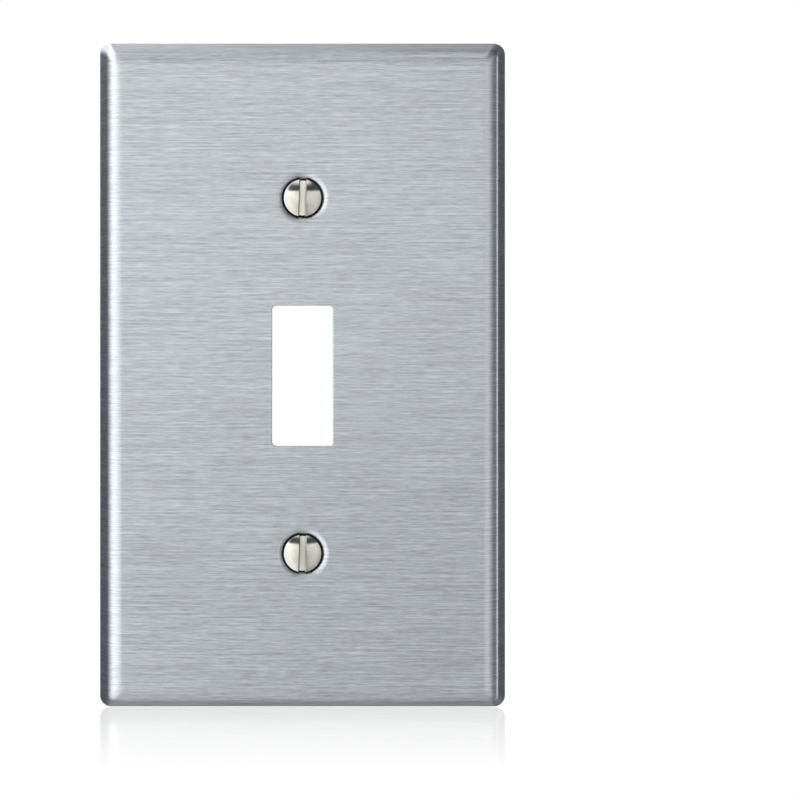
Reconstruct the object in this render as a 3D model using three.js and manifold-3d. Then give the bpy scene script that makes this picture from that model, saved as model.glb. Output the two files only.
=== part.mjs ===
// One-gang wall plate for a toggle switch, pressed from brushed stainless steel, with its two
// oval-head screws.
//
// Everything is modelled lying on its back: X runs across the plate, Y up it and Z out of the wall,
// so that the rear rim lies in the plane Z = 0. The group is then stood upright, so the finished part
// has +Z up, its face towards -Y and the wall plane at Y = 0. All lengths are millimetres.

import * as THREE from 'three';
import { mergeVertices } from 'three/addons/utils/BufferGeometryUtils.js';
import Module from 'manifold-3d';

const INCH = 25.4;
const { degToRad, mapLinear } = THREE.MathUtils;

// ---- Plate ----
const PLATE_WIDTH = 2.75 * INCH;
const PLATE_HEIGHT = 4.5 * INCH;
const PLATE_DEPTH = 5.6;
const SHEET = 0.8;
const FLANGE_ANGLE = degToRad(68); // between the face and the sloping flange
const BEND_RADIUS = 3.2; // outside of the bend between face and flange
const BEND_STEPS = 6;
const RIM_CORNER_RADIUS = 1.95; // corner of the outline at the wall
const FACE_CORNER_RADIUS = 1; // the same corner where the flat face starts
const LEAST_CORNER_RADIUS = 0.2; // of the inner skin
const CORNER_STEPS = 3; // half the facets in a corner

// ---- Toggle opening ----
const OPENING_WIDTH = 0.406 * INCH;
const OPENING_HEIGHT = 0.937 * INCH;
const OPENING_CORNER_RADIUS = 0.7;

// ---- Screw dimples ----
const SCREW_SPACING = 2.375 * INCH;
const CONE_HALF_ANGLE = degToRad(41); // 82 degree countersink
const DIMPLE_MOUTH_RADIUS = 3.55; // where the rounded lip meets the cone
const DIMPLE_LIP_RADIUS = 1.4; // rounding of the lip
const DIMPLE_LIP_STEPS = 4;
const SCREW_HOLE_RADIUS = 1.95;

// ---- #6-32 oval-head slotted screw ----
const HEAD_RADIUS = 3.17;
const HEAD_SEAT_GAP = 0.38; // radial gap between the head's cone and the dimple's cone
const HEAD_LAND = 0.1; // short cylinder between cone and dome
const DOME_HEIGHT = 0.85;
const DOME_STEPS = 6;
const SLOT_WIDTH = 1.05;
const SLOT_DEPTH = 1.2; // from the top of the dome
const SLOT_LEAN = degToRad(-1.6); // the slots stand almost upright
const SCREW_LENGTH = 0.5 * INCH; // from the head's edge to the tip
const THREAD_PITCH = INCH / 32;
const THREAD_MAJOR_RADIUS = 1.75;
const THREAD_ROOT_RADIUS = 1.26;
const THREAD_CREST = THREAD_PITCH / 8; // width of the flat along the crest
const FLANK_ANGLE = degToRad(30);
const TIP_CHAMFER = 0.5;

const TURN_STEPS = 24; // facets round a screw or a dimple
const OVERCUT = 0.5; // how far a cutting solid runs past what it cuts

// ---- Colours ----
const BRUSHED_STAINLESS = { color: 0xb4b9bc, roughness: 0.35, metalness: 1 };
const NICKEL_PLATE = { color: 0xd8d2c4, roughness: 0.2, metalness: 1 };

const wasm = await Module();
wasm.setup();

// ---- Solids ----

function solidOf(geometry) {
  const bare = geometry.clone();
  bare.deleteAttribute('normal');
  bare.deleteAttribute('uv');
  const merged = mergeVertices(bare, 1e-5);
  const mesh = new wasm.Mesh({
    numProp: 3,
    vertProperties: new Float32Array(merged.attributes.position.array),
    triVerts: new Uint32Array(merged.index.array),
  });
  return new wasm.Manifold(mesh);
}

function geometryOf(solid) {
  const { vertProperties, triVerts } = solid.getMesh();
  const geometry = new THREE.BufferGeometry();
  geometry.setAttribute('position', new THREE.BufferAttribute(vertProperties, 3));
  geometry.setIndex(new THREE.BufferAttribute(triVerts, 1));
  const faceted = geometry.toNonIndexed();
  faceted.computeVertexNormals();
  return faceted;
}

function solidFrom(positions, index) {
  const geometry = new THREE.BufferGeometry();
  geometry.setAttribute('position', new THREE.Float32BufferAttribute(positions, 3));
  geometry.setIndex(index);
  return solidOf(geometry);
}

function roundedRectangle(width, height, radius) {
  const x = width / 2 - radius;
  const y = height / 2 - radius;
  const quarter = Math.PI / 2;
  const shape = new THREE.Shape();
  shape.absarc(x, y, radius, 0, quarter);
  shape.absarc(-x, y, radius, quarter, 2 * quarter);
  shape.absarc(-x, -y, radius, 2 * quarter, 3 * quarter);
  shape.absarc(x, -y, radius, 3 * quarter, 4 * quarter);
  return shape;
}

// A closed solid through rings of equally many points, from the lowest ring to the highest.
function loft(rings) {
  const count = rings[0].points.length;
  const positions = rings.flatMap(({ points, z }) => points.flatMap((point) => [point.x, point.y, z]));
  const index = [];
  const highest = (rings.length - 1) * count;
  for (const [a, b, c] of THREE.ShapeUtils.triangulateShape(rings[0].points, [])) {
    index.push(a, c, b);
    index.push(highest + a, highest + b, highest + c);
  }
  for (let ring = 0; ring + 1 < rings.length; ring++) {
    for (let i = 0; i < count; i++) {
      const here = ring * count + i;
      const next = ring * count + ((i + 1) % count);
      index.push(here, next, next + count);
      index.push(here, next + count, here + count);
    }
  }
  return solidFrom(positions, index);
}

// A solid turned round Z. The profile is a list of [radius, height], from the axis back to the axis, upwards.
function turned(profile) {
  const points = profile.map(([radius, height]) => new THREE.Vector2(radius, height));
  const geometry = new THREE.LatheGeometry(points, TURN_STEPS);
  geometry.rotateX(Math.PI / 2);
  return solidOf(geometry);
}

// ---- Wall plate ----

// Half of the plate's section, from the rim to the face: how far in from the outline, and how high.
// The inner skin of the sheet is the same section, set back by the sheet's thickness.
function flangeSection(setBack) {
  const flangeHeight = PLATE_DEPTH - BEND_RADIUS * (1 - Math.cos(FLANGE_ANGLE));
  const bendCentre = flangeHeight / Math.tan(FLANGE_ANGLE) + BEND_RADIUS * Math.sin(FLANGE_ANGLE);
  const radius = BEND_RADIUS - setBack;
  const section = [{ inset: setBack / Math.sin(FLANGE_ANGLE), z: 0 }];
  for (let step = 0; step <= BEND_STEPS; step++) {
    const angle = FLANGE_ANGLE * (1 - step / BEND_STEPS);
    const inset = bendCentre - radius * Math.sin(angle);
    section.push({ inset, z: PLATE_DEPTH - BEND_RADIUS + radius * Math.cos(angle) });
  }
  return section;
}

// A corner gets sharper from the rim to the face.
function cornerRadius(z, setBack) {
  const outer = mapLinear(z, 0, PLATE_DEPTH, RIM_CORNER_RADIUS, FACE_CORNER_RADIUS);
  return Math.max(outer - setBack, LEAST_CORNER_RADIUS);
}

function plateRings(setBack) {
  return flangeSection(setBack).map(({ inset, z }) => {
    const width = PLATE_WIDTH - 2 * inset;
    const height = PLATE_HEIGHT - 2 * inset;
    const outline = roundedRectangle(width, height, cornerRadius(z, setBack));
    return { points: outline.getPoints(CORNER_STEPS), z };
  });
}

// One more ring below the wall plane opens the rim.
function hollow() {
  const rings = plateRings(SHEET);
  return loft([{ points: rings[0].points, z: -OVERCUT }, ...rings]);
}

function toggleCut() {
  const outline = roundedRectangle(OPENING_WIDTH, OPENING_HEIGHT, OPENING_CORNER_RADIUS);
  const depth = PLATE_DEPTH + 2 * OVERCUT;
  const geometry = new THREE.ExtrudeGeometry(outline, {
    depth,
    bevelEnabled: false,
    curveSegments: CORNER_STEPS,
  });
  geometry.translate(0, 0, -OVERCUT);
  return solidOf(geometry);
}

// A dimple's surface as [radius, height], from its hole up to its lip in the face.
function dimpleProfile(setBack) {
  const slope = Math.PI / 2 - CONE_HALF_ANGLE; // of the cone, from the plane of the face
  const lipCentre = DIMPLE_MOUTH_RADIUS + DIMPLE_LIP_RADIUS * Math.sin(slope);
  const radius = DIMPLE_LIP_RADIUS - setBack;
  const lip = [];
  for (let step = DIMPLE_LIP_STEPS; step >= 0; step--) {
    const angle = (slope * step) / DIMPLE_LIP_STEPS;
    const height = PLATE_DEPTH - DIMPLE_LIP_RADIUS + radius * Math.cos(angle);
    lip.push([lipCentre - radius * Math.sin(angle), height]);
  }
  const [mouthRadius, mouthHeight] = lip[0];
  const drop = (mouthRadius - SCREW_HOLE_RADIUS) / Math.tan(CONE_HALF_ANGLE);
  return [[SCREW_HOLE_RADIUS, mouthHeight - drop], ...lip];
}

function dimpleCut() {
  const front = dimpleProfile(0);
  const [lipRadius] = front.at(-1);
  const top = PLATE_DEPTH + OVERCUT;
  return turned([[0, -OVERCUT], [SCREW_HOLE_RADIUS, -OVERCUT], ...front, [lipRadius, top], [0, top]]);
}

// What a dimple leaves standing in the hollow behind the face.
function dimpleBack() {
  const back = dimpleProfile(SHEET);
  const [, bottom] = back[0];
  const [lipRadius] = back.at(-1);
  const top = PLATE_DEPTH - SHEET / 2;
  return turned([[0, bottom], ...back, [lipRadius, top], [0, top]]);
}

function wallPlate() {
  let sheet = loft(plateRings(0)).subtract(toggleCut());
  let cavity = hollow();
  for (const y of [SCREW_SPACING / 2, -SCREW_SPACING / 2]) {
    sheet = sheet.subtract(dimpleCut().translate(0, y, 0));
    cavity = cavity.subtract(dimpleBack().translate(0, y, 0));
  }
  return sheet.subtract(cavity);
}

// ---- Screw, along Z with its tip down ----

// The head's edge lies where its cone keeps the seat gap to the dimple's cone.
function headEdgeHeight() {
  const [, [mouthRadius, mouthHeight]] = dimpleProfile(0);
  return mouthHeight + (HEAD_RADIUS + HEAD_SEAT_GAP - mouthRadius) / Math.tan(CONE_HALF_ANGLE);
}

const EDGE_HEIGHT = headEdgeHeight();
const CROWN_HEIGHT = EDGE_HEIGHT + HEAD_LAND + DOME_HEIGHT;
const TIP_HEIGHT = EDGE_HEIGHT - SCREW_LENGTH;

function headConeHeight(radius) {
  return EDGE_HEIGHT - (HEAD_RADIUS - radius) / Math.tan(CONE_HALF_ANGLE);
}

function screwHead() {
  const domeRadius = (HEAD_RADIUS ** 2 + DOME_HEIGHT ** 2) / (2 * DOME_HEIGHT);
  const domeAngle = Math.asin(HEAD_RADIUS / domeRadius);
  const neck = headConeHeight(THREAD_ROOT_RADIUS);
  const profile = [[0, neck], [THREAD_ROOT_RADIUS, neck], [HEAD_RADIUS, EDGE_HEIGHT]];
  for (let step = 0; step < DOME_STEPS; step++) {
    const angle = domeAngle * (1 - step / DOME_STEPS);
    const height = CROWN_HEIGHT - domeRadius * (1 - Math.cos(angle));
    profile.push([domeRadius * Math.sin(angle), height]);
  }
  profile.push([0, CROWN_HEIGHT]);
  return turned(profile);
}

function slotCut() {
  const geometry = new THREE.BoxGeometry(SLOT_WIDTH, 2 * HEAD_RADIUS + 2 * OVERCUT, SLOT_DEPTH + OVERCUT);
  geometry.translate(0, 0, CROWN_HEIGHT - SLOT_DEPTH + (SLOT_DEPTH + OVERCUT) / 2);
  geometry.rotateZ(SLOT_LEAN);
  return solidOf(geometry);
}

// A right-hand thread: the corners of one ridge wound round Z, each turn joined to the turn above it.
// Both ends close on the axis, beyond the ends of the screw.
function threadStock(bottom, top) {
  const flank = (THREAD_MAJOR_RADIUS - THREAD_ROOT_RADIUS) * Math.tan(FLANK_ANGLE);
  const ridge = [
    [THREAD_ROOT_RADIUS, 0],
    [THREAD_MAJOR_RADIUS, flank],
    [THREAD_MAJOR_RADIUS, flank + THREAD_CREST],
    [THREAD_ROOT_RADIUS, 2 * flank + THREAD_CREST],
  ];
  const corners = ridge.length;
  const start = bottom - 2 * THREAD_PITCH;
  const turns = Math.ceil((top - bottom) / THREAD_PITCH) + 4;
  const last = turns * TURN_STEPS;
  const positions = [];
  for (let step = 0; step <= last; step++) {
    const angle = (2 * Math.PI * step) / TURN_STEPS;
    const lift = start + (THREAD_PITCH * step) / TURN_STEPS;
    for (const [radius, rise] of ridge) {
      positions.push(radius * Math.cos(angle), radius * Math.sin(angle), lift + rise);
    }
  }
  const lowCentre = corners * (last + 1);
  const highCentre = lowCentre + 1;
  positions.push(0, 0, start);
  positions.push(0, 0, start + turns * THREAD_PITCH + 2 * flank + THREAD_CREST);

  // Past the ridge's last corner comes its first corner, one turn higher.
  const at = (step, corner) => {
    const higher = Math.floor(corner / corners);
    return (step + higher * TURN_STEPS) * corners + (corner % corners);
  };
  const index = [];
  for (let step = 0; step < last; step++) {
    const joined = step + TURN_STEPS < last ? corners : corners - 1;
    for (let corner = 0; corner < joined; corner++) {
      index.push(at(step, corner), at(step + 1, corner), at(step + 1, corner + 1));
      index.push(at(step, corner), at(step + 1, corner + 1), at(step, corner + 1));
    }
  }
  const lowEdge = [];
  const highEdge = [];
  for (let step = 0; step < TURN_STEPS; step++) {
    lowEdge.push(at(step, 0));
    highEdge.push(at(last - step, corners - 1));
  }
  for (let corner = corners; corner > 0; corner--) {
    lowEdge.push(at(0, corner));
    highEdge.push(at(last - TURN_STEPS, 2 * corners - 1 - corner));
  }
  for (const [edge, centre] of [[lowEdge, lowCentre], [highEdge, highCentre]]) {
    edge.forEach((from, i) => index.push(edge[(i + 1) % edge.length], from, centre));
  }
  return solidFrom(positions, index);
}

function threadedShank() {
  const top = headConeHeight(THREAD_MAJOR_RADIUS);
  const clear = THREAD_MAJOR_RADIUS + OVERCUT;
  const envelope = turned([
    [0, TIP_HEIGHT],
    [THREAD_MAJOR_RADIUS - TIP_CHAMFER, TIP_HEIGHT],
    [clear, TIP_HEIGHT + TIP_CHAMFER + OVERCUT],
    [clear, top],
    [0, top],
  ]);
  return threadStock(TIP_HEIGHT, top).intersect(envelope);
}

// ---- Assembly ----

function piece(name, solid, finish, y) {
  const mesh = new THREE.Mesh(geometryOf(solid), new THREE.MeshStandardMaterial(finish));
  mesh.name = name;
  mesh.position.y = y;
  return mesh;
}

const screw = screwHead().add(threadedShank()).subtract(slotCut());

const part = new THREE.Group();
part.add(piece('wall_plate', wallPlate(), BRUSHED_STAINLESS, 0));
part.add(piece('screw_upper', screw, NICKEL_PLATE, SCREW_SPACING / 2));
part.add(piece('screw_lower', screw, NICKEL_PLATE, -SCREW_SPACING / 2));
part.rotation.x = Math.PI / 2; // stands the plate up, with its face towards -Y
part.updateMatrixWorld(true);

export default part;
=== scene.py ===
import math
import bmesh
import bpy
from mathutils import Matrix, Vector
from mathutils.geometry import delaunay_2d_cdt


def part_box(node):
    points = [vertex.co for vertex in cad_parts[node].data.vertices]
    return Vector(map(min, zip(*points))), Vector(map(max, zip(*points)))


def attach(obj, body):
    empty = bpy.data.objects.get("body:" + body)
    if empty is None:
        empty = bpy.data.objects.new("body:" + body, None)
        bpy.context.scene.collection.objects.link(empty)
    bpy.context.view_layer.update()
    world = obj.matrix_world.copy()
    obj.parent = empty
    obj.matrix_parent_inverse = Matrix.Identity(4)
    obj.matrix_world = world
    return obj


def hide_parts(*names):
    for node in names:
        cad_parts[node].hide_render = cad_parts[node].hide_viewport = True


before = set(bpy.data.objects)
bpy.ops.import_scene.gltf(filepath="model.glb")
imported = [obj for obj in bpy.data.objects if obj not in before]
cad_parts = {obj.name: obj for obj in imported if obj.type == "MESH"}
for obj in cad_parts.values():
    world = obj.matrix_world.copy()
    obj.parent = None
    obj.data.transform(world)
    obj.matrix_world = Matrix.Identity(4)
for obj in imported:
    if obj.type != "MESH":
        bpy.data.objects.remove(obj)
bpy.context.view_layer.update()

# A brushed stainless wall plate for a toggle switch, with its two nickel-plated oval-head screws.
#
# Shapes are worked out as the CAD model works them out: lying on their backs in millimetres, with x across
# the plate, y up it and z out of the wall. in_row() then stands them up in the row frame, in metres.

MM = 0.001

# ---- Sizes, in millimetres ----

plate_low, plate_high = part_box("wall_plate")
PLATE_WIDTH, PLATE_DEPTH, PLATE_HEIGHT = (plate_high - plate_low) / MM
SHEET = 0.8
FLANGE_ANGLE = math.radians(68)  # between the face and the sloping flange
BEND_RADIUS = 3.2  # outside of the bend between face and flange
BEND_STEPS = 20
RIM_CORNER_RADIUS = 1.95  # corner of the outline at the wall
FACE_CORNER_RADIUS = 1  # the same corner where the flat face starts
LEAST_CORNER_RADIUS = 0.2  # of the inner skin
CORNER_STEPS = 16
FLANGE_STEPS = 6
RIM_ROUNDING = 0.1
EDGE_STEPS = 5

OPENING_WIDTH = 10.3124
OPENING_HEIGHT = 23.7998
OPENING_CORNER_RADIUS = 0.7
OPENING_ROUNDING = 0.16  # of the edge rolled in by the punch
PUNCHED_ROUNDING = 0.05  # of the edge where the punch came out

CONE_HALF_ANGLE = math.radians(41)  # 82 degree countersink
DIMPLE_MOUTH_RADIUS = 3.55  # where the rounded lip meets the cone
DIMPLE_LIP_RADIUS = 1.4  # rounding of the lip
DIMPLE_LIP_STEPS = 16
SCREW_HOLE_RADIUS = 1.95
DIMPLE_TURN_STEPS = 96

HEAD_RADIUS = 3.17
HEAD_SEAT_GAP = 0.38  # radial gap between the head's cone and the dimple's cone
HEAD_LAND = 0.1  # short cylinder between cone and dome
HEAD_ROUNDING = 0.05  # of the edges of that cylinder
DOME_HEIGHT = 0.85
DOME_STEPS = 26
SLOT_WIDTH = 1.05
SLOT_DEPTH = 1.2  # from the top of the dome
SLOT_LEAN = math.radians(-1.6)
SLOT_CHAMFER = 0.12
SLOT_SLICES = 40
SCREW_LENGTH = 12.7  # from the head's edge to the tip
THREAD_PITCH = 0.79375
THREAD_MAJOR_RADIUS = 1.75
THREAD_ROOT_RADIUS = 1.26
THREAD_CREST = THREAD_PITCH / 8
THREAD_FLANK = (THREAD_MAJOR_RADIUS - THREAD_ROOT_RADIUS) * math.tan(math.radians(30))
TIP_CHAMFER = 0.5
RINGS_IN_A_TURN = 20
SCREW_TURN_STEPS = 72


def in_row(x, y, z):
    """A point of the part lying on its back, stood up in the row frame."""
    return Vector((x, -z, y)) * MM


# ---- Outlines ----

def turned(point, angle):
    cosine, sine = math.cos(angle), math.sin(angle)
    return Vector((point.x * cosine - point.y * sine, point.x * sine + point.y * cosine))


def filleted(corners):
    """A line through (across, height, radius, steps) corners, with an arc at each but the two ends."""
    line = []
    for before, corner, after in zip(corners, corners[1:], corners[2:]):
        here = Vector(corner[:2])
        arriving = (here - Vector(before[:2])).normalized()
        leaving = (Vector(after[:2]) - here).normalized()
        radius, steps = corner[2:]
        turn = arriving.angle_signed(leaving)
        if radius == 0 or abs(turn) < 1e-6:
            line.append(here)
            continue
        start = here - arriving * radius * math.tan(abs(turn) / 2)
        side = math.copysign(radius, -turn)
        middle = start + Vector((-arriving.y, arriving.x)) * side
        spoke = start - middle
        for step in range(steps + 1):
            angle = -turn * step / steps
            line.append(middle + turned(spoke, angle))
    return line


def rounded_rectangle(width, height, radius):
    """The points of a rectangle with round corners, each with the way out of it there."""
    ring = []
    for corner in range(4):
        middle_angle = math.radians(45 + 90 * corner)
        middle = Vector((
            math.copysign(width / 2 - radius, math.cos(middle_angle)),
            math.copysign(height / 2 - radius, math.sin(middle_angle)),
        ))
        for step in range(CORNER_STEPS + 1):
            angle = math.radians(90) * (corner + step / CORNER_STEPS)
            way = Vector((math.cos(angle), math.sin(angle)))
            ring.append((middle + way * radius, way))
    return ring


def circle(radius, steps):
    ways = [Vector((math.cos(a), math.sin(a))) for a in (math.tau * step / steps for step in range(steps))]
    return [(way * radius, way) for way in ways]


class Sheet:
    """The skin of a sheet: its points, their places on the unfolded sheet, and its faces by finish."""

    def __init__(self):
        self.points = []
        self.unfolded = []
        self.faces = []
        self.finishes = []

    def add_ring(self, points, unfolded, height):
        first = len(self.points)
        self.points += [in_row(x, y, height) for x, y in points]
        self.unfolded += unfolded
        return list(range(first, len(self.points)))

    def add_face(self, face, finish):
        self.faces.append(face)
        self.finishes.append(finish)

    def bridge(self, ring, following, finish):
        for here in range(len(ring)):
            there = (here + 1) % len(ring)
            self.add_face((ring[here], ring[there], following[there], following[here]), finish)

    def fill(self, outer, holes, finish):
        """Triangles over a flat face between its outer ring and its holes."""
        numbers = [number for ring in (outer, *holes) for number in ring]
        edges = []
        for ring in (outer, *holes):
            edges += [(numbers.index(a), numbers.index(b)) for a, b in zip(ring, ring[1:] + ring[:1])]
        flat = [Vector(self.unfolded[number]) for number in numbers]
        _, _, triangles, sources, _, _ = delaunay_2d_cdt(flat, edges, [], 1, 1e-6)
        for triangle in triangles:
            face = tuple(numbers[sources[corner][0]] for corner in triangle)
            if not any(set(face) <= set(hole) for hole in holes):
                self.add_face(face, finish)

    def mesh(self, name, materials):
        made = bpy.data.meshes.new(name)
        made.from_pydata(self.points, [], self.faces)
        for material in materials:
            made.materials.append(material)
        made.polygons.foreach_set("material_index", self.finishes)
        grain = made.uv_layers.new(name="grain")
        for loop in made.loops:
            grain.data[loop.index].uv = self.unfolded[loop.vertex_index]
        faces_outwards(made)
        made.shade_smooth()
        return made


def faces_outwards(mesh):
    shell = bmesh.new()
    shell.from_mesh(mesh)
    bmesh.ops.recalc_face_normals(shell, faces=shell.faces)
    shell.to_mesh(mesh)
    shell.free()


# ---- Wall plate ----

BRUSHED, RAW, PRESSED = range(3)  # the plate's finishes, in the order of its material slots


def flange_section():
    """Across the flange as (inset, height): round the bend, down to the rim, and up inside it."""
    lean = 1 / math.tan(FLANGE_ANGLE)
    back = PLATE_DEPTH - SHEET
    face_corner = lean * PLATE_DEPTH
    rim_width = SHEET / math.sin(FLANGE_ANGLE)
    back_corner = rim_width + lean * back
    return filleted([
        (PLATE_WIDTH / 2, PLATE_DEPTH),
        (face_corner, PLATE_DEPTH, BEND_RADIUS, BEND_STEPS),
        *((face_corner * part, PLATE_DEPTH * part, 0, 0) for part in flange_parts()),
        (0, 0, RIM_ROUNDING, EDGE_STEPS),
        (rim_width, 0, RIM_ROUNDING, EDGE_STEPS),
        *((rim_width + lean * back * part, back * part, 0, 0) for part in reversed(flange_parts())),
        (back_corner, back, BEND_RADIUS - SHEET, BEND_STEPS),
        (PLATE_WIDTH / 2, back),
    ])


def flange_parts():
    """Heights of the rings across the flat of the flange, from the top down, as parts of the depth."""
    highest, lowest = 0.6, 0.08
    return [highest + (lowest - highest) * step / FLANGE_STEPS for step in range(FLANGE_STEPS + 1)]


def corner_radius(height, inside):
    """A corner of the plate gets sharper from the rim to the face."""
    outer = RIM_CORNER_RADIUS + (FACE_CORNER_RADIUS - RIM_CORNER_RADIUS) * height / PLATE_DEPTH
    return max(outer - SHEET * inside, LEAST_CORNER_RADIUS)


def dimple_section():
    """Down a dimple and back up behind it, as (radius, height)."""
    slope = math.pi / 2 - CONE_HALF_ANGLE
    lip_centre = DIMPLE_MOUTH_RADIUS + DIMPLE_LIP_RADIUS * math.sin(slope)
    corner = lip_centre - DIMPLE_LIP_RADIUS * math.tan(slope / 2)
    drop = (corner - SCREW_HOLE_RADIUS) / math.tan(CONE_HALF_ANGLE)
    wall = SHEET / math.sin(CONE_HALF_ANGLE)
    back_radius = DIMPLE_LIP_RADIUS - SHEET
    back_corner = lip_centre - back_radius * math.tan(slope / 2)
    return filleted([
        (2 * corner, PLATE_DEPTH),
        (corner, PLATE_DEPTH, DIMPLE_LIP_RADIUS, DIMPLE_LIP_STEPS),
        (SCREW_HOLE_RADIUS, PLATE_DEPTH - drop, PUNCHED_ROUNDING, EDGE_STEPS),
        (SCREW_HOLE_RADIUS, PLATE_DEPTH - drop - wall, PUNCHED_ROUNDING, EDGE_STEPS),
        (back_corner, PLATE_DEPTH - SHEET, back_radius, EDGE_STEPS),
        (2 * corner, PLATE_DEPTH - SHEET),
    ])


def dimple_finish(ring):
    """The brushed lip, then the cone that the punch left dull, then the hole and the back."""
    if ring < DIMPLE_LIP_STEPS:
        return BRUSHED
    return PRESSED if ring < DIMPLE_LIP_STEPS + EDGE_STEPS + 1 else RAW


def opening_section():
    """Through the toggle opening, as (distance out from its edge, height)."""
    back = PLATE_DEPTH - SHEET
    return filleted([
        (1, PLATE_DEPTH),
        (0, PLATE_DEPTH, OPENING_ROUNDING, EDGE_STEPS),
        (0, back, PUNCHED_ROUNDING, EDGE_STEPS),
        (1, back),
    ])


def travelled(section):
    """How far each point of a section is from the section's nearer end, along it."""
    steps = [(b - a).length for a, b in zip(section, section[1:])]
    ahead = [sum(steps[:number]) for number in range(len(section))]
    return [min(length, ahead[-1] - length) for length in ahead]


def add_flange(sheet):
    """The plate's bends, flanges and rim. Returns the edges of the flat face and of the flat back."""
    section = flange_section()
    from_rim = [abs(inset - SHEET / 2) + height for inset, height in section]
    rim = from_rim.index(min(from_rim))
    distances = travelled(section)
    rings = []
    for number, (inset, height) in enumerate(section):
        inside = number > rim
        flat_inset = (section[-1] if inside else section[0]).x
        unbent = distances[number] - (flat_inset - inset)
        radius = corner_radius(height, inside)
        ring = rounded_rectangle(PLATE_WIDTH - 2 * inset, PLATE_HEIGHT - 2 * inset, radius)
        unfolded = [point + way * unbent for point, way in ring]
        rings.append(sheet.add_ring([point for point, _ in ring], unfolded, height))
    brushed = rim - EDGE_STEPS // 2
    for number, (ring, following) in enumerate(zip(rings, rings[1:])):
        sheet.bridge(ring, following, BRUSHED if number < brushed else RAW)
    return rings[0], rings[-1]


def add_hole(sheet, section, outline_at, centre, finish_at):
    """A hole through the sheet. Returns its edges in the flat face and in the flat back."""
    rings = []
    for across, height in section:
        points = [centre + point for point, _ in outline_at(across)]
        rings.append(sheet.add_ring(points, points, height))
    for number, (ring, following) in enumerate(zip(rings, rings[1:])):
        sheet.bridge(ring, following, finish_at(number))
    return rings[0], rings[-1]


def wall_plate(materials):
    sheet = Sheet()
    face, back = add_flange(sheet)
    holes = [add_hole(
        sheet,
        opening_section(),
        lambda across: rounded_rectangle(
            OPENING_WIDTH + 2 * across, OPENING_HEIGHT + 2 * across, OPENING_CORNER_RADIUS + across,
        ),
        Vector((0, 0)),
        lambda number: BRUSHED if number < EDGE_STEPS else RAW,
    )]
    for screw in SCREWS:
        holes.append(add_hole(
            sheet,
            dimple_section(),
            lambda across: circle(across, DIMPLE_TURN_STEPS),
            screw_centre(screw),
            dimple_finish,
        ))
    sheet.fill(face, [front for front, _ in holes], BRUSHED)
    sheet.fill(back, [rear for _, rear in holes], RAW)
    return sheet.mesh("wall_plate_sheet", materials)


# ---- Screws ----

# The middle one is nickel darkened nearly to black, as painted shade on the slot's walls and left edge.
PLATED, PAINTED_SHADE, MILLED = range(3)  # the screws' finishes, in the order of their material slots

SCREWS = ("screw_upper", "screw_lower")


def screw_centre(node):
    low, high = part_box(node)
    middle = (low + high) / 2 / MM
    return Vector((middle.x, middle.z))


LIP_HEIGHT = PLATE_DEPTH - DIMPLE_LIP_RADIUS * (1 - math.sin(CONE_HALF_ANGLE))  # where the cone starts
EDGE_HEIGHT = LIP_HEIGHT + (HEAD_RADIUS + HEAD_SEAT_GAP - DIMPLE_MOUTH_RADIUS) / math.tan(CONE_HALF_ANGLE)
NECK_HEIGHT = EDGE_HEIGHT - (HEAD_RADIUS - THREAD_MAJOR_RADIUS) / math.tan(CONE_HALF_ANGLE)
CROWN_HEIGHT = EDGE_HEIGHT + HEAD_LAND + DOME_HEIGHT
TIP_HEIGHT = EDGE_HEIGHT - SCREW_LENGTH
DOME_RADIUS = (HEAD_RADIUS ** 2 + DOME_HEIGHT ** 2) / (2 * DOME_HEIGHT)


def dome_height(radius):
    radius = min(radius, HEAD_RADIUS)
    return CROWN_HEIGHT - DOME_RADIUS + math.sqrt(DOME_RADIUS ** 2 - radius ** 2)


def shank_radius(angle, height):
    """The rolled thread, chamfered at the tip, until the head's cone is wider than it."""
    rise = THREAD_PITCH * (((height - TIP_HEIGHT) / THREAD_PITCH - angle / math.tau) % 1)
    ridge = min(rise, 2 * THREAD_FLANK + THREAD_CREST - rise) / THREAD_FLANK
    ridge = min(max(ridge, 0), 1)
    rounded = ridge * ridge * (3 - 2 * ridge)
    thread = THREAD_ROOT_RADIUS + (THREAD_MAJOR_RADIUS - THREAD_ROOT_RADIUS) * rounded
    tip = THREAD_MAJOR_RADIUS - TIP_CHAMFER + height - TIP_HEIGHT
    cone = HEAD_RADIUS - (EDGE_HEIGHT - height) * math.tan(CONE_HALF_ANGLE)
    return max(min(thread, tip), cone)


def head_section():
    """Up the head's cone, over its edge and up the dome, as (radius, height)."""
    dome_edge = HEAD_RADIUS - 2 * HEAD_ROUNDING
    dome_radii = [dome_edge * (1 - step / DOME_STEPS) for step in range(DOME_STEPS + 1)]
    return filleted([
        (THREAD_MAJOR_RADIUS, NECK_HEIGHT),
        (HEAD_RADIUS, EDGE_HEIGHT, HEAD_ROUNDING, EDGE_STEPS),
        (HEAD_RADIUS, EDGE_HEIGHT + HEAD_LAND, HEAD_ROUNDING, EDGE_STEPS),
        *((radius, dome_height(radius), 0, 0) for radius in dome_radii),
    ])


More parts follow.
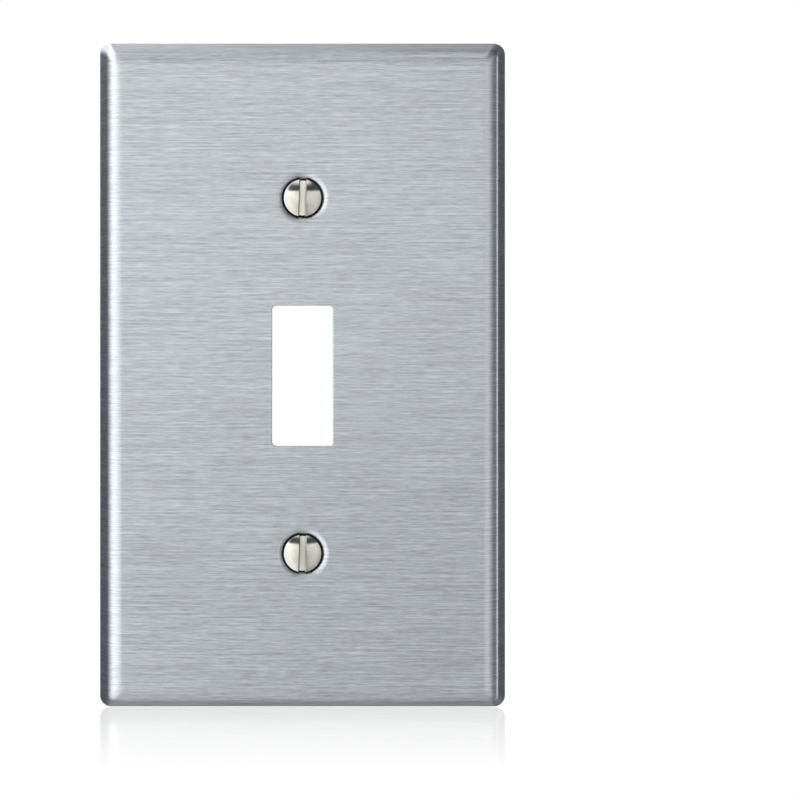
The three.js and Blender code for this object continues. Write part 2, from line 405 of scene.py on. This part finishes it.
def screw_blank():
    """The screw before its slot is cut, as a closed mesh of rings with a point at each end."""
    ring_count = math.ceil(RINGS_IN_A_TURN * (NECK_HEIGHT - TIP_HEIGHT) / THREAD_PITCH)
    angles = [math.tau * step / SCREW_TURN_STEPS for step in range(SCREW_TURN_STEPS)]
    rings = []
    for number in range(ring_count + 1):
        height = TIP_HEIGHT + (NECK_HEIGHT - TIP_HEIGHT) * number / ring_count
        rings.append([(shank_radius(angle, height), height) for angle in angles])
    rings += [[tuple(point)] * SCREW_TURN_STEPS for point in head_section()]

    blank = bmesh.new()
    loops = [
        [blank.verts.new(in_row(radius * math.cos(angle), radius * math.sin(angle), height))
         for angle, (radius, height) in zip(angles, ring)]
        for ring in rings
    ]
    ends = [blank.verts.new(in_row(0, 0, TIP_HEIGHT)), blank.verts.new(in_row(0, 0, CROWN_HEIGHT))]
    for here in range(SCREW_TURN_STEPS):
        there = (here + 1) % SCREW_TURN_STEPS
        for loop, following in zip(loops, loops[1:]):
            blank.faces.new((loop[here], loop[there], following[there], following[here]))
        blank.faces.new((loops[0][there], loops[0][here], ends[0]))
        blank.faces.new((loops[-1][here], loops[-1][there], ends[1]))
    bmesh.ops.recalc_face_normals(blank, faces=blank.faces)
    return blank


def slot_cutter():
    """A bar across the head that widens where it comes out of the dome, to chamfer the slot's edges."""
    side = SLOT_WIDTH / 2
    floor = CROWN_HEIGHT - SLOT_DEPTH
    reach = HEAD_RADIUS + 1
    cutter = bmesh.new()
    slices = []
    for number in range(SLOT_SLICES + 1):
        along = reach * (2 * number / SLOT_SLICES - 1)
        mouth = dome_height(math.hypot(side, along))
        half = [
            (side, floor),
            (side, mouth - SLOT_CHAMFER),
            (side + 3 * SLOT_CHAMFER, mouth + 2 * SLOT_CHAMFER),
            (side + 3 * SLOT_CHAMFER, CROWN_HEIGHT + 1),
        ]
        outline = half + [(-across, height) for across, height in reversed(half)]
        slices.append([
            cutter.verts.new(in_row(*turned(Vector((across, along)), SLOT_LEAN), height))
            for across, height in outline
        ])
    # Round the outline: right wall, chamfer and clearance, top, left clearance, chamfer and wall, floor.
    # Both walls and the left chamfer get the near-black nickel: painted shade for the slot's dark walls
    # and its dark left edge.
    finishes = (PAINTED_SHADE, PLATED, PLATED, PLATED, PLATED, PAINTED_SHADE, PAINTED_SHADE, MILLED)
    for here, finish in enumerate(finishes):
        there = (here + 1) % len(finishes)
        for section, following in zip(slices, slices[1:]):
            face = cutter.faces.new((section[here], section[there], following[there], following[here]))
            face.material_index = finish
    cutter.faces.new(slices[0])
    cutter.faces.new(slices[-1])
    bmesh.ops.recalc_face_normals(cutter, faces=cutter.faces)
    return cutter


def placed(name, shell, materials):
    """A new object from a bmesh."""
    mesh = bpy.data.meshes.new(name)
    shell.to_mesh(mesh)
    shell.free()
    for material in materials:
        mesh.materials.append(material)
    thing = bpy.data.objects.new(name, mesh)
    bpy.context.scene.collection.objects.link(thing)
    return thing


def slotted_screw(materials):
    """One screw on the row's origin, with its slot cut."""
    blank = placed("screw_blank", screw_blank(), materials)
    cutter = placed("slot_cutter", slot_cutter(), materials)
    cut = blank.modifiers.new("slot", "BOOLEAN")
    cut.operation = "DIFFERENCE"
    cut.solver = "EXACT"
    cut.object = cutter
    graph = bpy.context.evaluated_depsgraph_get()
    mesh = bpy.data.meshes.new_from_object(blank.evaluated_get(graph))
    for used in (blank, cutter):
        bpy.data.objects.remove(used)
    return mesh


def screw_mesh(shared, node):
    """A copy of the screw in its own dimple, with its lathe's radius and height as a UV map."""
    mesh = shared.copy()
    mesh.name = node + "_slotted"
    turning = mesh.uv_layers.new(name="turning")
    for loop in mesh.loops:
        x, y, z = mesh.vertices[loop.vertex_index].co / MM
        turning.data[loop.index].uv = (math.hypot(x, z), -y)
    centre = screw_centre(node)
    for vertex in mesh.vertices:
        vertex.co += in_row(centre.x, centre.y, 0)
    mesh.shade_smooth()
    mesh.set_sharp_from_angle(angle=math.radians(30))
    return mesh


# ---- Materials ----

class Nodes:
    """Adds nodes to one tree."""

    def __init__(self, tree):
        self.tree = tree

    def node(self, kind, settings=None, **inputs):
        """A node, with its settings and what goes into each of its inputs: a value or another's output."""
        made = self.tree.nodes.new(kind)
        for name, value in (settings or {}).items():
            setattr(made, name, value)
        for name, value in inputs.items():
            self.feed(made.inputs[int(name[1:]) if name[0] == "_" else name.replace("_", " ")], value)
        return made.outputs[0]

    def feed(self, socket, value):
        if isinstance(value, bpy.types.NodeSocket):
            self.tree.links.new(value, socket)
        else:
            socket.default_value = value

    def place(self, output):
        return self.tree.nodes.new("ShaderNodeTexCoord").outputs[output]

    def maths(self, operation, first, second=0.0):
        return self.node("ShaderNodeMath", {"operation": operation}, _0=first, _1=second)


class Material(Nodes):
    """A metal, with helpers for the nodes that colour and roughen it."""

    def __init__(self, name, **finish):
        self.made = bpy.data.materials.new(name)
        self.made.use_nodes = True
        super().__init__(self.made.node_tree)
        self.shader = self.tree.nodes["Principled BSDF"]
        self.shader.inputs["Metallic"].default_value = 1
        for socket, value in finish.items():
            self.shader.inputs[socket.replace("_", " ").title()].default_value = value

    def noise(self, place, sizes, detail=2, roughness=0.5):
        """Noise between 0 and 1 with blobs of these sizes along each axis of the place."""
        scale = [1 / size for size in sizes]
        stretched = self.node("ShaderNodeVectorMath", {"operation": "MULTIPLY"}, _0=place, _1=scale)
        return self.node(
            "ShaderNodeTexNoise", Vector=stretched, Scale=1.0, Detail=detail, Roughness=roughness,
        )

    def spread(self, value, least, most, start=0.3, end=0.7):
        """A value between start and end, spread from the least to the most."""
        return self.node(
            "ShaderNodeMapRange", Value=value, From_Min=start, From_Max=end, To_Min=least, To_Max=most,
        )

    def tinted(self, colour, brightness):
        """A colour made lighter and darker by a value round 1."""
        return self.node("ShaderNodeVectorMath", {"operation": "SCALE"}, _0=colour, Scale=brightness)

    def bump(self, height, depth, before=None):
        """A bump of this depth in metres, on top of another bump."""
        inputs = {"Height": height, "Distance": depth, "Strength": 1.0}
        if before is not None:
            inputs["Normal"] = before
        return self.node("ShaderNodeBump", **inputs)

    def finish(self, colour, roughness, normal):
        self.feed(self.shader.inputs["Base Color"], colour)
        self.feed(self.shader.inputs["Roughness"], roughness)
        self.feed(self.shader.inputs["Normal"], normal)
        return self.made


def brushed_stainless():
    """Stainless steel brushed across the plate: hairlines of several widths, which follow the bends."""
    steel = Material("brushed_stainless", anisotropic=0.8, anisotropic_rotation=0.25)
    place = steel.node("ShaderNodeUVMap", {"uv_map": "grain"})
    hairlines = steel.noise(place, (2.6, 0.26, 1), detail=3, roughness=0.7)
    scratches = steel.noise(place, (16, 0.3, 1), detail=3, roughness=0.7)
    bands = steel.noise(place, (50, 4, 1), detail=2)
    brightness = steel.maths(
        "ADD",
        steel.maths("ADD", steel.spread(hairlines, -0.22, 0.22), steel.spread(scratches, -0.235, 0.235)),
        steel.spread(bands, 0.97, 1.03),
    )
    roughness = steel.maths(
        "ADD", steel.spread(scratches, 0.35, 0.41), steel.spread(hairlines, -0.03, 0.03),
    )
    normal = steel.bump(hairlines, 4e-6)
    tangent = steel.node("ShaderNodeTangent", {"direction_type": "UV_MAP", "uv_map": "grain"})
    steel.feed(steel.shader.inputs["Tangent"], tangent)
    return steel.finish(steel.tinted((0.585, 0.61, 0.63), brightness), roughness, normal)


def mill_stainless():
    """The same sheet as it left the mill, dull and faintly mottled: its back and its cut edges."""
    steel = Material("mill_stainless")
    place = steel.node("ShaderNodeUVMap", {"uv_map": "grain"})
    rolling = steel.noise(place, (12, 0.5, 1), detail=3, roughness=0.6)
    mottle = steel.noise(place, (3, 2.2, 1), detail=5, roughness=0.6)
    brightness = steel.maths(
        "ADD", steel.spread(mottle, 0.94, 1.06), steel.spread(rolling, -0.07, 0.07),
    )
    roughness = steel.spread(mottle, 0.42, 0.54)
    return steel.finish(
        steel.tinted((0.58, 0.6, 0.615), brightness), roughness, steel.bump(mottle, 3e-6),
    )


def milled_nickel():
    """The floor of the slot, with the cutter's marks along it and a warmer, thinner plating."""
    nickel = Material("milled_nickel")
    marks = nickel.noise(nickel.place("Object"), (0.3 * MM, 6 * MM, 6 * MM), detail=2, roughness=0.6)
    return nickel.finish(
        nickel.tinted((0.79, 0.748, 0.64), nickel.spread(marks, 0.84, 1.16)),
        nickel.spread(marks, 0.38, 0.46),
        nickel.bump(marks, 2e-6),
    )


def painted_shade_nickel():
    """The same plating in the slot, darkened nearly to black and mottled at random: painted shade on its
    walls and one edge.
    """
    nickel = Material("painted_shade_nickel")
    shade_mottle = nickel.noise(nickel.place("Object"), (0.4 * MM, 0.4 * MM, 0.4 * MM), detail=3)
    return nickel.finish(
        nickel.tinted((0.05, 0.048, 0.045), nickel.spread(shade_mottle, 0.7, 1.4)),
        nickel.spread(shade_mottle, 0.35, 0.5),
        nickel.bump(shade_mottle, 2e-6),
    )


def pressed_stainless():
    """The cones of the dimples, scuffed by the punch."""
    steel = Material("pressed_stainless")
    place = steel.node("ShaderNodeUVMap", {"uv_map": "grain"})
    scuffs = steel.noise(place, (0.5, 0.5, 1), detail=4, roughness=0.6)
    return steel.finish(
        steel.tinted((0.5, 0.52, 0.54), steel.spread(scuffs, 0.8, 1.2)),
        steel.spread(scuffs, 0.24, 0.36),
        steel.bump(scuffs, 2e-6),
    )


def nickel_plate():
    """Bright nickel over turned steel, slightly warm, with faint turning marks and handling marks."""
    nickel = Material("nickel_plate")
    lathe = nickel.node("ShaderNodeUVMap", {"uv_map": "turning"})
    place = nickel.place("Object")
    turning = nickel.noise(lathe, (0.12, 0.12, 1), detail=3)
    blotches = nickel.noise(place, (1.1 * MM, 1.1 * MM, 1.1 * MM), detail=4, roughness=0.6)
    brightness = nickel.maths(
        "ADD", nickel.spread(blotches, 0.93, 1.05), nickel.spread(turning, -0.02, 0.02),
    )
    roughness = nickel.maths(
        "ADD", nickel.spread(blotches, 0.16, 0.12), nickel.spread(turning, -0.015, 0.015),
    )
    return nickel.finish(
        nickel.tinted((0.575, 0.563, 0.503), brightness), roughness, nickel.bump(turning, 0.6e-6),
    )


# ---- Pieces ----

def piece(name, mesh, body, node):
    """A finished piece that stands for a CAD node and rides on its body."""
    made = bpy.data.objects.new(name, mesh)
    bpy.context.scene.collection.objects.link(made)
    smooth = made.modifiers.new("flat faces stay flat", "WEIGHTED_NORMAL")
    smooth.keep_sharp = True
    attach(made, body)
    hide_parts(node)


piece(
    "brushed_wall_plate",
    wall_plate([brushed_stainless(), mill_stainless(), pressed_stainless()]),
    "plate",
    "wall_plate",
)
screw = slotted_screw([nickel_plate(), painted_shade_nickel(), milled_nickel()])
for node, body in zip(SCREWS, ("upper_screw", "lower_screw")):
    piece(node + "_slotted", screw_mesh(screw, node), body, node)
bpy.data.meshes.remove(screw)


# ---- Floor ----

FLOOR_REACH = 1.5  # metres from the plate to the floor's edge
REFLECTION = 0.31  # of the plate in the polished floor where they meet
REFLECTION_DEPTH = 50 * MM  # how far from the plate it has faded away
FLOOR_GLOW = 1.02  # just white


def floor_material():
    """White and bright, and polished round the plate's lower edge."""
    white = Material("white_floor")
    place = white.node("ShaderNodeSeparateXYZ", Vector=white.place("Object"))
    from_plate = white.maths("ABSOLUTE", place.node.outputs["Y"])
    shine = white.spread(from_plate, REFLECTION, 0.0, 0.0, REFLECTION_DEPTH)
    mirror = white.node("ShaderNodeBsdfGlossy", Color=(1.0, 1.0, 1.0, 1.0), Roughness=0.0)
    glow = white.node("ShaderNodeEmission", Strength=FLOOR_GLOW)
    mixed = white.node("ShaderNodeMixShader", _0=shine, _1=glow, _2=mirror)
    white.feed(white.tree.nodes["Material Output"].inputs["Surface"], mixed)
    white.tree.nodes.remove(white.shader)
    return white.made


def floor():
    """A plain floor under the plate's lower edge. Only the camera sees it, so it lights nothing."""
    shell = bmesh.new()
    corners = [(-1, -1), (1, -1), (1, 1), (-1, 1)]
    shell.faces.new([shell.verts.new((x * FLOOR_REACH, y * FLOOR_REACH, plate_low.z)) for x, y in corners])
    made = placed("floor", shell, [floor_material()])
    made.visible_glossy = False
    made.visible_diffuse = False
    made.visible_shadow = False


floor()


# ---- Studio light ----

# The light comes from all round as soft panels, given by the directions they fill as seen from the plate:
# the bearing is 0 in front of the plate and grows to its right, and the elevation is 0 at the horizon.
# Each side of a panel is its middle and how far its soft edge reaches to either side of that, in degrees.
PANELS = (
    # left side, right side, lower side, upper side, brightness
    ((-93, 30), (80, 37), (-80, 20), (24, 2), 0.31),  # in front of the plate
    ((-93, 30), (80, 37), (0, 35), (24, 2), 0.4),  # brighter above the horizon
    ((-92, 30), (-15, 32), (-70, 20), (24, 2), 1.09),  # to its left
    ((16, 10), (58, 16), (-50, 20), (24, 2), 0.46),  # to its right
    ((-158, 6), (-52, 10), (20, 6), (65, 8), 1.65),  # to its upper left, behind it
    ((-200, 5), (36, 12), (47, 8), (66, 6), 1.3),  # overhead, but for the right
    ((-200, 5), (58, 10), (66, 6), (100, 5), 0.6),
    ((164, 6), (200, 5), (52, 12), (100, 5), 0.6),
    ((109, 2), (124, 2), (-50, 10), (16, 8), 1.25),  # a narrow one to its right, behind it
    ((-200, 5), (200, 5), (-100, 5), (-72, 12), 0.5),  # below
    ((-200, 5), (-158, 8), (-100, 5), (-52, 14), 0.2),  # below and behind
    ((158, 8), (200, 5), (-100, 5), (-52, 14), 0.2),
    ((-200, 5), (-160, 6), (-8, 4), (38, 3), 0.4),  # behind
    ((162, 6), (200, 5), (-8, 4), (38, 3), 0.84),
    ((-200, 5), (-168, 4), (3, 3), (18, 3), 0.4),  # and brighter just above the floor
    ((168, 4), (200, 5), (3, 3), (18, 3), 0.4),
)
GLOOM = (0.08, 0.09, 0.105)  # from everywhere else

# A softbox stands square in front of the plate, with its lower edge just below the plate's middle.
SOFTBOX_WIDTH = 400 * MM
SOFTBOX_HEIGHT = 200 * MM
SOFTBOX_DISTANCE = 150 * MM  # in front of the plate
SOFTBOX_LOWER_EDGE = 12 * MM  # below the plate's middle
SOFTBOX_SPREAD = math.radians(50)
SOFTBOX_WATTS = 0.0095
UPRIGHT = (math.radians(90), 0, 0)  # the turn that makes a light or a camera look along the row's +Y


def studio():
    made = bpy.data.worlds.new("studio")
    bpy.context.scene.world = made
    made.use_nodes = True
    made.node_tree.nodes.clear()
    world = Nodes(made.node_tree)

    def beyond(value, side, before, after):
        """A value that goes smoothly from before to after across a panel's side."""
        middle, softness = side
        return world.node(
            "ShaderNodeMapRange", {"interpolation_type": "SMOOTHSTEP"}, Value=value,
            From_Min=middle - softness, From_Max=middle + softness, To_Min=before, To_Max=after,
        )

    way = world.node("ShaderNodeSeparateXYZ", Vector=world.place("Generated"))
    right, inwards, up = way.node.outputs
    bearing = world.maths("DEGREES", world.maths("ARCTAN2", right, world.maths("MULTIPLY", inwards, -1.0)))
    elevation = world.maths("DEGREES", world.maths("ARCSINE", up))
    light = 0.0
    for left_side, right_side, lower_side, upper_side, brightness in PANELS:
        from_left = beyond(bearing, left_side, 0.0, brightness)
        across = world.maths("MULTIPLY", from_left, beyond(bearing, right_side, 1.0, 0.0))
        from_below = beyond(elevation, lower_side, 0.0, 1.0)
        upwards = world.maths("MULTIPLY", from_below, beyond(elevation, upper_side, 1.0, 0.0))
        light = world.maths("ADD", world.maths("MULTIPLY", across, upwards), light)
    lit = world.node("ShaderNodeVectorMath", {"operation": "ADD"}, _0=light, _1=GLOOM)

    # The surroundings look white, both straight from the camera and in the floor, the one perfect mirror.
    rays = world.node("ShaderNodeLightPath").node.outputs
    seen = world.maths("MAXIMUM", rays["Is Camera Ray"], rays["Is Singular Ray"])
    shown = world.node("ShaderNodeMix", {"data_type": "VECTOR"}, Factor=seen, _4=lit, _5=(1.0, 1.0, 1.0))
    background = world.node("ShaderNodeBackground", Color=shown.node.outputs[1], Strength=1.0)
    output = world.tree.nodes.new("ShaderNodeOutputWorld")
    world.feed(output.inputs["Surface"], background)


def softbox():
    """A near light over the upper half of the plate, so the face gets darker downwards."""
    light = bpy.data.lights.new("softbox", "AREA")
    light.shape = "RECTANGLE"
    light.size = SOFTBOX_WIDTH
    light.size_y = SOFTBOX_HEIGHT
    light.spread = SOFTBOX_SPREAD
    light.energy = SOFTBOX_WATTS
    made = bpy.data.objects.new("softbox", light)
    made.location = (0, plate_low.y - SOFTBOX_DISTANCE, SOFTBOX_HEIGHT / 2 - SOFTBOX_LOWER_EDGE)
    made.rotation_euler = UPRIGHT
    bpy.context.scene.collection.objects.link(made)


studio()
softbox()
bpy.context.scene.view_settings.view_transform = "Standard"


# ---- Camera ----

LENS = 85.0
LENS_SHIFT = (0.1218, -0.0893)  # to the right and down, as parts of the frame's width
CAMERA_DISTANCE = 320 * MM  # in front of the face
CAMERA_HEIGHT = 8 * MM  # above the plate's middle
NEAREST_SEEN = 10 * MM


def camera():
    """Looks straight at the face, with the plate to the left of the middle and a little above it."""
    view = bpy.data.cameras.new("camera")
    view.lens = LENS
    view.shift_x, view.shift_y = LENS_SHIFT
    view.clip_start = NEAREST_SEEN
    made = bpy.data.objects.new("camera", view)
    made.location = (0, plate_low.y - CAMERA_DISTANCE, CAMERA_HEIGHT)
    made.rotation_euler = UPRIGHT
    bpy.context.scene.collection.objects.link(made)
    bpy.context.scene.camera = made


camera()
